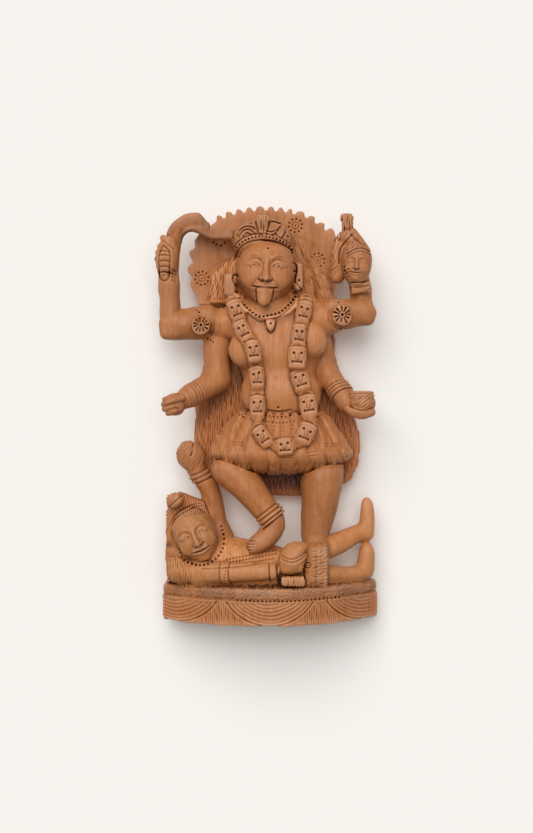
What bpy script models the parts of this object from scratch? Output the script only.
"""Carved wooden temple figurine: a four-armed goddess standing on a recumbent god, with a halo behind.

The figure faces -Y, with +X on the viewer's right and +Z up. The origin is on the underside of the base, under
the middle of its straight back edge's span. Every point and radius below is in millimetres and becomes metres
through mm(). Each carved form is one closed solid, and it stands GAP clear of the forms it grows from.
"""

import math

import bmesh
import bpy
from mathutils import Euler, Matrix, Vector

MM = 0.001
GAP = 0.3 * MM

# Driving dimensions, in millimetres.
HEIGHT = 302.0
BASE_HALF_WIDTH = 79.0
BASE_BACK = 30.0
BASE_FRONT = -34.0
BASE_LEFT_CORNER = 0.0
BASE_RIGHT_CORNER = 16.0
PLINTH_TOP = 17.5
MAT_TOP = 27.0
WAIST = 151.0
PANEL_TOP = 230.0
PANEL_FRONT = 13.0
PANEL_BACK = 26.0
HALO_THICKNESS = 8.0
HALO_SCALLOP = 3.7
GARLAND_HEAD = (4.9, 3.6, 8.0)

SIDES = 10
LIMB_STEPS = 2

WOOD_TINTS = {
    "light": (0.56, 0.25, 0.135),
    "warm": (0.45, 0.19, 0.09),
    "deep": (0.34, 0.13, 0.05),
}
WOOD_ROUGHNESS = 0.55


def mm(*values):
    return Vector(values) * MM


def clear_scene():
    for old in list(bpy.data.objects):
        bpy.data.objects.remove(old, do_unlink=True)


def new_collection(name):
    collection = bpy.data.collections.new(name)
    bpy.context.scene.collection.children.link(collection)
    return collection


def wood(name, tint):
    material = bpy.data.materials.new(name + "_wood")
    material.use_nodes = True
    shader = material.node_tree.nodes["Principled BSDF"]
    shader.inputs["Base Color"].default_value = (*WOOD_TINTS[tint], 1)
    shader.inputs["Roughness"].default_value = WOOD_ROUGHNESS
    shader.inputs["Metallic"].default_value = 0
    return material


def place(name, mesh, centre=(0, 0, 0), turn=(0, 0, 0), tint="warm"):
    """Adds a mesh to the figurine as a named piece. turn is in degrees about X, Y and Z."""
    piece = bpy.data.objects.new(name, mesh)
    piece.location = mm(*centre)
    piece.rotation_euler = Euler([math.radians(angle) for angle in turn])
    mesh.shade_smooth()
    mesh.materials.clear()
    mesh.materials.append(wood(name, tint))
    FIGURINE.objects.link(piece)
    return piece


def ellipsoid(name, centre, radii, turn=(0, 0, 0), tint="warm", around=12, up=7, taper=0.0):
    """taper is the share of its width that it has lost at the bottom, as an egg does."""
    form = bmesh.new()
    bmesh.ops.create_uvsphere(form, u_segments=around, v_segments=up, radius=1)
    for vert in form.verts:
        vert.co.x *= 1 - taper * max(-vert.co.z, 0) ** 1.5
    bmesh.ops.scale(form, vec=mm(*radii), verts=form.verts)
    mesh = bpy.data.meshes.new(name)
    form.to_mesh(mesh)
    form.free()
    return place(name, mesh, centre, turn, tint)


def block(name, centre, size, rounding, turn=(0, 0, 0), tint="warm"):
    form = bmesh.new()
    bmesh.ops.create_cube(form, size=1)
    bmesh.ops.scale(form, vec=mm(*size), verts=form.verts)
    mesh = bpy.data.meshes.new(name)
    form.to_mesh(mesh)
    form.free()
    piece = place(name, mesh, centre, turn, tint)
    bevel = piece.modifiers.new("rounded_edges", "BEVEL")
    bevel.width = rounding * MM
    bevel.segments = 2
    return as_mesh(piece)


def smooth_path(stations, steps=LIMB_STEPS):
    """Catmull-Rom points through stations of any length, which may carry a radius after x, y, z."""
    ends = [stations[0], *stations, stations[-1]]
    path = []
    for before, start, end, after in zip(ends, ends[1:], ends[2:], ends[3:]):
        for step in range(steps):
            t = step / steps
            path.append(
                [
                    0.5 * (2 * b + (c - a) * t + (2 * a - 5 * b + 4 * c - d) * t**2 + (3 * b - a - 3 * c + d) * t**3)
                    for a, b, c, d in zip(before, start, end, after)
                ]
            )
    path.append(list(stations[-1]))
    return path


def rounded_ends(stations):
    """Adds a smaller station beyond each end, so that a limb closes in a dome."""
    def beyond(end, inner):
        out = (Vector(end[:3]) - Vector(inner[:3])).normalized()
        return [(*(Vector(end[:3]) + out * end[3] * share), end[3] * size) for share, size in ((0.45, 0.86), (0.8, 0.5))]

    head = beyond(stations[0], stations[1])
    tail = beyond(stations[-1], stations[-2])
    return [*reversed(head), *stations, *tail]


def limb(name, stations, tint="warm", domed=True, steps=LIMB_STEPS, sides=SIDES):
    """A tapered round form through stations of (x, y, z, radius)."""
    path = smooth_path(stations, steps)
    if domed:
        path = rounded_ends(path)
    curve = bpy.data.curves.new(name, "CURVE")
    curve.dimensions = "3D"
    curve.bevel_depth = MM
    curve.bevel_resolution = sides // 2 - 2
    curve.use_fill_caps = True
    spline = curve.splines.new("POLY")
    spline.points.add(len(path) - 1)
    for point, (x, y, z, radius) in zip(spline.points, path):
        point.co = (*mm(x, y, z), 1)
        point.radius = radius
    guide = bpy.data.objects.new(name, curve)
    FIGURINE.objects.link(guide)
    return curve_to_piece(guide, name, tint)


def plate(name, outline, front, back, rounding=0.8, tint="warm"):
    """A flat form in the XZ plane: a closed outline of (x, z), from y = front to y = back."""
    curve = bpy.data.curves.new(name, "CURVE")
    curve.dimensions = "2D"
    curve.fill_mode = "BOTH"
    curve.extrude = ((back - front) / 2 - rounding) * MM
    curve.bevel_depth = rounding * MM
    curve.bevel_resolution = 0
    curve.offset = -rounding * MM
    spline = curve.splines.new("POLY")
    spline.points.add(len(outline) - 1)
    for point, (x, z) in zip(spline.points, outline):
        point.co = (x * MM, z * MM, 0, 1)
    spline.use_cyclic_u = True
    guide = bpy.data.objects.new(name, curve)
    guide.location = mm(0, (front + back) / 2, 0)
    guide.rotation_euler = (math.radians(90), 0, 0)
    FIGURINE.objects.link(guide)
    return curve_to_piece(guide, name, tint)


def slab(name, outline, bottom, top, rounding, tint="warm"):
    """A flat form in the XY plane: a closed outline of (x, y), from z = bottom to z = top."""
    form = bmesh.new()
    ring = [form.verts.new(mm(x, y, bottom)) for x, y in outline]
    floor = form.faces.new(ring)
    lifted = bmesh.ops.extrude_face_region(form, geom=[floor])["geom"]
    raised = [part for part in lifted if isinstance(part, bmesh.types.BMVert)]
    bmesh.ops.translate(form, vec=mm(0, 0, top - bottom), verts=raised)
    bmesh.ops.recalc_face_normals(form, faces=form.faces)
    mesh = bpy.data.meshes.new(name)
    form.to_mesh(mesh)
    form.free()
    piece = place(name, mesh, tint=tint)
    bevel = piece.modifiers.new("rounded_edges", "BEVEL")
    bevel.width = rounding * MM
    bevel.segments = 2
    bevel.limit_method = "ANGLE"
    bevel.angle_limit = math.radians(40)
    return as_mesh(piece)


def turned(name, profile, centre, depth_share, tint="warm", steps=28):
    """A profile of (radius, z), top to bottom, turned about Z and narrowed in Y."""
    mesh = bpy.data.meshes.new(name)
    mesh.from_pydata([mm(radius, 0, z) for radius, z in profile], [(i, i + 1) for i in range(len(profile) - 1)], [])
    piece = place(name, mesh, centre, tint=tint)
    screw = piece.modifiers.new("turned", "SCREW")
    screw.steps = screw.render_steps = steps
    screw.use_merge_vertices = True
    screw.merge_threshold = 0.01 * MM
    piece.scale = (1, depth_share, 1)
    return as_mesh(piece)


def curve_to_piece(guide, name, tint):
    """Replaces a curve object by the closed mesh that it draws, its caps welded."""
    bpy.context.view_layer.update()
    drawn = guide.evaluated_get(bpy.context.evaluated_depsgraph_get())
    mesh = bpy.data.meshes.new_from_object(drawn)
    mesh.transform(guide.matrix_world)
    bpy.data.objects.remove(guide, do_unlink=True)
    return place(name, face_out(mesh), tint=tint)


def as_mesh(piece):
    """Applies a piece's modifiers and its place, so that its mesh is in the figurine's own frame."""
    bpy.context.view_layer.update()
    drawn = piece.evaluated_get(bpy.context.evaluated_depsgraph_get())
    mesh = bpy.data.meshes.new_from_object(drawn)
    mesh.transform(piece.matrix_world)
    piece.modifiers.clear()
    piece.data = face_out(mesh)
    piece.matrix_world = Matrix.Identity(4)
    return piece


def face_out(mesh):
    """Welds a mesh and turns all its faces outward."""
    form = bmesh.new()
    form.from_mesh(mesh)
    bmesh.ops.remove_doubles(form, verts=form.verts, dist=0.01 * MM)
    bmesh.ops.recalc_face_normals(form, faces=form.faces)
    form.to_mesh(mesh)
    form.free()
    return mesh


def is_closed(mesh):
    form = bmesh.new()
    form.from_mesh(mesh)
    closed = len(form.faces) > 0 and all(edge.is_manifold for edge in form.edges)
    form.free()
    return closed


def boolean(piece, tool, operation):
    """Applies a Boolean: EXACT, or MANIFOLD where EXACT leaves nothing or an open mesh."""
    uncut = piece.data
    for solver in ("EXACT", "MANIFOLD"):
        piece.data = uncut
        modifier = piece.modifiers.new(operation.lower(), "BOOLEAN")
        modifier.operation = operation
        modifier.object = tool
        modifier.solver = solver
        as_mesh(piece)
        if is_closed(piece.data):
            break


def union(first, *others):
    """Joins other pieces into the first."""
    for other in others:
        boolean(first, other, "UNION")
        bpy.data.objects.remove(other, do_unlink=True)
    return first


def corners(piece):
    points = [piece.matrix_world @ vertex.co for vertex in piece.data.vertices]
    return [min(p[axis] for p in points) for axis in range(3)], [max(p[axis] for p in points) for axis in range(3)]


def boxes_meet(first, second):
    (low_a, high_a), (low_b, high_b) = corners(first), corners(second)
    return all(low_a[axis] - GAP < high_b[axis] and low_b[axis] - GAP < high_a[axis] for axis in range(3))


def swollen_copy(piece):
    """The piece grown by GAP all over, as a cutter."""
    cutter = bpy.data.objects.new(piece.name + "_cutter", piece.data.copy())
    form = bmesh.new()
    form.from_mesh(cutter.data)
    form.normal_update()
    for vertex in form.verts:
        vertex.co += vertex.normal * GAP * vertex.calc_shell_factor()
    form.to_mesh(cutter.data)
    form.free()
    cutter.hide_render = True
    cutter.display_type = "WIRE"
    CUTTERS.objects.link(cutter)
    return cutter


def keep_largest_body(piece):
    """Drops the crumbs that a cut leaves beside a piece."""
    form = bmesh.new()
    form.from_mesh(piece.data)
    unseen = set(form.verts)
    bodies = []
    while unseen:
        front = [unseen.pop()]
        body = set(front)
        while front:
            for edge in front.pop().link_edges:
                for vertex in edge.verts:
                    if vertex in unseen:
                        unseen.discard(vertex)
                        body.add(vertex)
                        front.append(vertex)
        bodies.append(body)
    for body in sorted(bodies, key=len)[:-1]:
        bmesh.ops.delete(form, geom=list(body), context="VERTS")
    form.to_mesh(piece.data)
    form.free()


def fit_in_order(pieces):
    """Cuts each piece clear of those before it, so that the earlier form keeps its whole shape."""
    cutters = [swollen_copy(piece) for piece in pieces]
    for index, piece in enumerate(pieces):
        for cutter in cutters[:index]:
            if boxes_meet(piece, cutter):
                boolean(piece, cutter, "DIFFERENCE")
        keep_largest_body(piece)
    for cutter in cutters:
        bpy.data.objects.remove(cutter, do_unlink=True)


def base_outline(inset=0.0, steps=14):
    """A half log seen from above: a straight back, and a bowed front whose right corner stands further back."""
    half = BASE_HALF_WIDTH - inset
    outline = [(half, BASE_BACK - inset), (-half, BASE_BACK - inset)]
    for step in range(steps + 1):
        t = 2 * step / steps - 1
        corner = BASE_LEFT_CORNER if t < 0 else BASE_RIGHT_CORNER
        front = BASE_FRONT + (corner - BASE_FRONT) * t * t
        outline.append((half * t, front + inset))
    return outline


def make_base():
    plinth = slab("base_plinth", base_outline(), 0, PLINTH_TOP, 1.2)
    mat = slab("base_mat", base_outline(0.4), PLINTH_TOP + 0.3, MAT_TOP, 2.6, "light")
    return [plinth, mat]


def make_recumbent_body():
    torso = limb(
        "recumbent_torso",
        [(-56, 6, 38, 11), (-40, 2, 44, 17), (-20, 0, 43, 16.6), (4, 0, 41, 12.8), (22, 0, 36, 10)],
    )
    hips = block("recumbent_hips", (32.5, -6, 41), (16, 30, 27), 4)
    upper_leg = union(
        limb("recumbent_upper_leg", [(40, -1, 53.2, 9.4), (50, 4, 56, 8.4), (61, 9, 61, 6.7), (68, 12, 63, 6.6)]),
        limb("upper_foot", [(70, 12, 62, 6.9), (71, 12, 73, 5.6), (71, 12, 85.4, 4.4)]),
    )
    lower_leg = union(
        limb("recumbent_lower_leg", [(40, -4, 34, 7.6), (54, 3, 32.2, 6.4), (66.4, 9, 33.4, 6.6)]),
        limb("lower_foot", [(69.4, 10, 34, 6.7), (70.6, 11, 43.5, 6.6), (70.8, 11, 50.5, 5.6)]),
    )
    return [torso, hips, upper_leg, lower_leg]


def make_recumbent_head():
    tilt = (0, -24, 0)
    head = ellipsoid("recumbent_head", (-54.5, -11, 63.5), (15.5, 15, 20.5), tilt, "light", 14, 9)
    hair_outline = [(-75.6, 27.4), (-76.2, 60), (-76.2, 91), (-66, 93), (-48.5, 86.5), (-42, 70), (-48, 50), (-52, 27.4)]
    hair = plate("recumbent_hair", hair_outline, -6, 11, 3)
    topknot = ellipsoid("recumbent_topknot", (-69.5, -10, 87.5), (6.6, 6, 5.8), tilt, "warm", 10, 6)
    return [head, hair, topknot]


def make_recumbent_arms():
    front_arm = limb(
        "recumbent_front_arm",
        [(-65, -7, 35.5, 7.5), (-44, -17.5, 36.5, 8), (-18, -23, 37.5, 7.2), (2, -24, 38.5, 5.8)],
        "light",
    )
    front_hand = ellipsoid("recumbent_front_hand", (15.5, -22, 47.5), (10, 9.5, 13), (0, 26, 0), "light")
    hand_rest = block("hand_rest", (15.5, -21, 31.2), (17, 16, 7.6), 1.5)
    raised_arm = union(
        limb(
            "recumbent_raised_arm",
            [(-35.4, 8, 57, 10.4), (-41, 7, 70, 8.8), (-42.8, 6, 86, 8), (-46, 5, 97, 7.4), (-53.5, 4, 107, 7.6)],
            "deep",
        ),
        ellipsoid("raised_hand", (-58.5, 2, 119), (11.5, 6.5, 12.5), (0, -30, 0), "deep"),
    )
    return [front_arm, front_hand, hand_rest, raised_arm]


def make_goddess_legs():
    bent_leg = union(
        limb("bent_leg", [(-8, 0, 125, 13), (-20, -3, 119, 13), (-31, -5, 113, 13)]),
        limb("shin", [(-31, -5, 111, 13.8), (-20, -6, 101, 13), (-10.6, -7, 89, 11), (1, -8, 75, 9.6)]),
    )
    bent_foot = limb(
        "bent_foot", [(2.6, -8, 71.0, 9.2), (-1.6, -10, 62.4, 8.2), (-7.5, -13, 58, 7.6), (-12.5, -14, 55, 6.4)]
    )
    standing_leg = limb(
        "standing_leg",
        [(36.5, -1, 126, 16.8), (37, -2, 107, 16.2), (35.8, -3, 88, 14), (33.6, -3, 73, 11.8), (32, -3, 60, 10.6)],
    )
    return [bent_leg, bent_foot, standing_leg]


def make_goddess_torso():
    waist = ellipsoid("torso", (7.5, -3, 165), (31, 15.5, 24), tint="light")
    ribs = ellipsoid("ribs", (5, -2, 196), (33, 15, 30))
    shoulders = limb("shoulders", [(-37, 1, 215, 11.5), (2, 0, 220, 13.5), (43, 1, 218, 11.5)])
    neck = limb("neck", [(-1, -1, 222, 14), (-2, -2, 238, 12.5)])
    breasts = [
        ellipsoid("breast_right", (-19, -12, 196), (12.5, 10.5, 13.5), around=10, up=6),
        ellipsoid("breast_left", (29, -12, 203), (12.5, 10.5, 13.5), around=10, up=6),
    ]
    return [union(waist, ribs, shoulders, neck, *breasts)]


def make_skirt():
    profile = [(0, 2), (33, 1), (39.5, -6), (47, -16), (53, -26), (54.5, -30), (50, -35), (38, -41), (20, -45), (0, -46)]
    return [turned("skirt", profile, (7, -2, WAIST), 0.46, steps=20)]


def make_goddess_head():
    head = ellipsoid("head", (-3.4, -7, 252), (21.9, 19, 25), (0, 4, 0), "light", 18, 12, taper=0.34)
    crown = union(
        ellipsoid("crown", (-6, -2, 276), (22.5, 17, 15.5), around=18, up=10),
        block("crown_front", (-6.3, -13, 284.5), (9.5, 8, 15.5), 1.5, (8, 0, 0)),
    )
    return [head, crown]


def make_background():
    """The long hair down the back, the side locks and the scalloped halo."""
    hair_outline = [(-46, PANEL_TOP), (-49, 190), (-56, 166), (-57, 126), (-47, 107), (-23, 89.4), (22, 88.8), (46, 93)]
    hair_outline += [(59, 100.5), (65.4, 113), (66.8, 127), (65.4, 137), (61, 151), (49, 190), (46, PANEL_TOP)]
    back_hair = plate("back_hair", hair_outline, PANEL_FRONT, PANEL_BACK, 2.5, "deep")
    locks = [
        union(
            plate("side_lock_right", [(-25, 270), (-36, 261), (-46, 252), (-47, 230.6), (-12, 230.6), (-14, 262)], 7, 12.7, 1.5),
            plate("lock_root", [(-22, 268), (-31, 258), (-35, 230.6), (-12, 230.6), (-14, 262)], -1, 9, 2),
        ),
        union(
            plate("side_lock_left", [(13, 284), (27, 272), (37, 257), (46, 241), (46.6, 230.6), (8, 230.6), (9, 262)], 5, 12.7, 2),
            plate("lock_root", [(12, 280), (22, 270), (30, 252), (34, 230.6), (8, 230.6), (9, 262)], -2, 9, 2),
        ),
    ]
    return [back_hair, *locks, make_halo()]


def scalloped(valleys, height):
    """Round bumps standing on the lines between valleys that run with the halo on their right."""
    outline = []
    for (ax, az), (bx, bz) in zip(valleys, valleys[1:]):
        run = math.dist((ax, az), (bx, bz))
        for share, lift in ((0.0, 0.0), (0.1, 0.62), (0.5, 1.0), (0.9, 0.62)):
            x = ax + share * (bx - ax) + (az - bz) / run * lift * height
            z = az + share * (bz - az) + (bx - ax) / run * lift * height
            outline.append((x, z))
    return outline


def make_halo():
    """Barbs up the viewer's left side, round scallops over the top, and a plain right side."""
    outline = [(47.4, PANEL_TOP + 0.6), (-53, PANEL_TOP + 0.6), (-55.3, 238), (-59, 244), (-59.4, 247.5), (-57.3, 251)]
    outline += [(-61, 255), (-61.5, 258), (-57.2, 262), (-60, 267), (-60.2, 269.5), (-56, 273), (-56.4, 278), (-52, 284)]
    valleys = [(-41.5, 291.8), (-34.6, 294.5), (-27.2, 296.8), (-19.8, 298.6), (-12.4, 299.6), (-3.6, 300), (3.8, 299.4)]
    valleys += [(10.8, 298.8), (17.2, 297.2), (26.3, 294.8), (33.7, 290.6), (40.7, 285.6), (46.8, 283)]
    outline += scalloped(valleys, HALO_SCALLOP)
    outline += [(48, 281)]
    return plate("halo", outline, PANEL_FRONT, PANEL_FRONT + HALO_THICKNESS, 0)


def make_upper_arms():
    """The two raised arms, with what their hands hold."""
    right_upper = limb("upper_arm_sword", [(-46, 0, 217, 13), (-60, -2, 215.2, 11.8), (-70, -3, 213.4, 10.6)], "light")
    right_fore = limb("forearm_sword", [(-72.4, -4, 212.2, 9.2), (-73.2, -5, 228, 7.8), (-73.4, -6, 246, 7.6)], "light")
    right_hand = ellipsoid("hand_sword", (-74.8, -8, 262), (8.6, 8.5, 17.4), (0, 3, 0), "light", 12, 8)
    left_upper = limb("upper_arm_head", [(45, 0, 221.6, 12.8), (57, -2, 222.6, 11.2), (67, -3, 224.2, 9.8)], "light")
    left_fore = limb("forearm_head", [(66.2, -2, 225, 9.8), (64.8, 0, 245, 8), (58.5, 1, 268, 8)])
    left_hand = ellipsoid("hand_head", (57.5, -4, 276.5), (10, 8, 7.5), (0, 28, 0), "warm", 12, 7)
    return [right_upper, right_fore, right_hand, left_upper, left_fore, left_hand]


def sword_outline(steps=7):
    """A sickle blade: two arcs from the grip over to the crown, with a flared, notched tip."""
    outer = [(-76.5, 266), (-76.5, 278), (-72, 287.5), (-62.5, 294.6), (-52, 295.6)]
    notch = [(-45.8, 288.6), (-40, 287.8), (-30, 290)]
    inner = [(-27, 276.6), (-43, 276.6), (-50.5, 280), (-57.5, 282.6), (-64, 278.4), (-67.2, 264)]
    return [*smooth_path(outer, 3), *notch, *smooth_path(inner, 2)]


def make_held_things():
    sword = plate("sword", sword_outline(), -7, 3, 1.2)
    severed_head = ellipsoid("severed_head", (61, -12, 257.4), (10.2, 10, 17), (0, -5, 0), "warm", 14, 9)
    tuft_outline = [(50.6, 294.6), (60, 294.6), (59, 285), (62, 274), (56, 250), (47.5, 249), (44.5, 266), (46, 278), (51.5, 284.5)]
    tuft = plate("severed_head_hair", tuft_outline, -9, 3, 1.5)
    bowl = turned("bowl", [(0, 6.6), (8, 6.6), (9.5, 5), (9.2, -2), (6, -6.5), (0, -7.5)], (64.6, -16, 159.6), 0.95, "warm", 16)
    return [sword, severed_head, tuft, bowl]


def make_lower_arms():
    right_arm = union(
        limb("lower_arm_right", [(-39.5, 3, 203, 10.2), (-39.5, 2, 188, 9.8), (-38, 1, 175, 9.8)]),
        limb("right_forearm", [(-39, 0, 174.2, 9.6), (-50, -6, 167.6, 9), (-60, -11, 161.6, 8.6)]),
    )
    right_hand = ellipsoid("lower_hand_right", (-68.3, -14, 157), (9.2, 8.5, 8.8), (0, -22, 0), "light")
    left_arm = union(
        limb("lower_arm_left", [(36, 5, 204, 9), (37.4, 4, 192, 8.6), (39.4, 3, 181, 8.6)]),
        limb("left_forearm", [(40.6, 1, 180.4, 8.6), (48.4, -6, 168, 8.6), (55, -11, 158.4, 8.6)]),
    )
    left_hand = ellipsoid("lower_hand_left", (63.6, -15, 153), (10.5, 9.5, 6), (0, 2, 0), "light")
    return [right_arm, right_hand, left_arm, left_hand]


def make_ornaments():
    """Rosettes on the raised arms, ear plates, anklet, necklace, pendant and girdle."""
    rosettes = [
        ellipsoid("rosette_right", (-50.6, -12, 213.6), (8, 3.4, 8), tint="light", around=14, up=6),
        ellipsoid("rosette_left", (51.2, -12, 221), (8.8, 3.4, 8.8), tint="light", around=14, up=6),
    ]
    ear_plates = [
        block("ear_plate_right", (-29.8, -3.5, 243), (8.4, 11, 17), 1),
        block("ear_plate_left", (20, -4, 249), (6.4, 10, 20), 1),
    ]
    anklet = limb("anklet", [(-1.9, -7.7, 79.0, 10.5), (2.3, -8, 73.6, 10.2)], domed=False, steps=1, sides=12)
    necklace = limb("necklace", arc_of_beads((-2, -13, 233), (21, 5.5, 14.5), 9, 1.5), "light", steps=1, sides=6)
    pendant = ellipsoid("pendant", (-0.5, -17.5, 213.5), (4.2, 2.6, 5), tint="light", around=10, up=6)
    girdle = limb("girdle", arc_of_beads((7, -2, 152), (34.5, 17.5, 4), 11, 2.2), steps=1, sides=6)
    return [*rosettes, *ear_plates, anklet, necklace, pendant, girdle]


def arc_of_beads(centre, reach, count, radius):
    """Stations round the front half of a ring that sags by reach[2] at its middle."""
    stations = []
    for index in range(count):
        angle = math.pi * (index / (count - 1))
        x = centre[0] - reach[0] * math.cos(angle)
        y = centre[1] - reach[1] * math.sin(angle)
        z = centre[2] - reach[2] * math.sin(angle)
        stations.append((x, y, z, radius))
    return stations


def garland_path():
    """The garland's middle line, down from the viewer's left shoulder, under the belly and up again."""
    return [
        (-25, -15, 224), (-20, -21, 209), (-12.5, -24, 194.5), (-10, -20, 176), (-9.5, -21, 155.5), (-6, -25.5, 134),
        (9.5, -28, 127), (24.5, -26, 136), (26.5, -21, 156), (21, -20.5, 174), (18.5, -24, 190), (20, -22, 206), (23.5, -16, 223),
    ]


def make_garland():
    """Thirteen small heads in a loop, each turned along the loop's own line."""
    path = garland_path()
    heads = []
    for index, point in enumerate(path):
        before = path[max(index - 1, 0)]
        after = path[min(index + 1, len(path) - 1)]
        along = Vector((after[0] - before[0], 0, after[2] - before[2]))
        lean = math.degrees(math.atan2(along.x, -along.z)) if index < 6 else math.degrees(math.atan2(-along.x, along.z))
        turn = 0 if index == 6 else -lean
        size = (7.2, 3.6, 5.4) if index == 6 else GARLAND_HEAD
        heads.append(ellipsoid(f"garland_head_{index + 1:02d}", point, size, (0, turn, 0), "warm", 10, 6))
    return heads


def make_figurine():
    """Every form, from the one that keeps its whole shape to the one that yields to all the others."""
    forms = [
        *make_base(),
        *make_recumbent_body(),
        *make_goddess_torso(),
        *make_goddess_head(),
        *make_skirt(),
        *make_goddess_legs(),
        *make_recumbent_head(),
        *make_recumbent_arms(),
        *make_upper_arms(),
        *make_lower_arms(),
        *make_held_things(),
        *make_background(),
        *make_ornaments(),
        *make_garland(),
    ]
    for form in forms:
        as_mesh(form)
    fit_in_order(forms)


clear_scene()
FIGURINE = new_collection("deity_figurine")
CUTTERS = new_collection("cutters")
make_figurine()
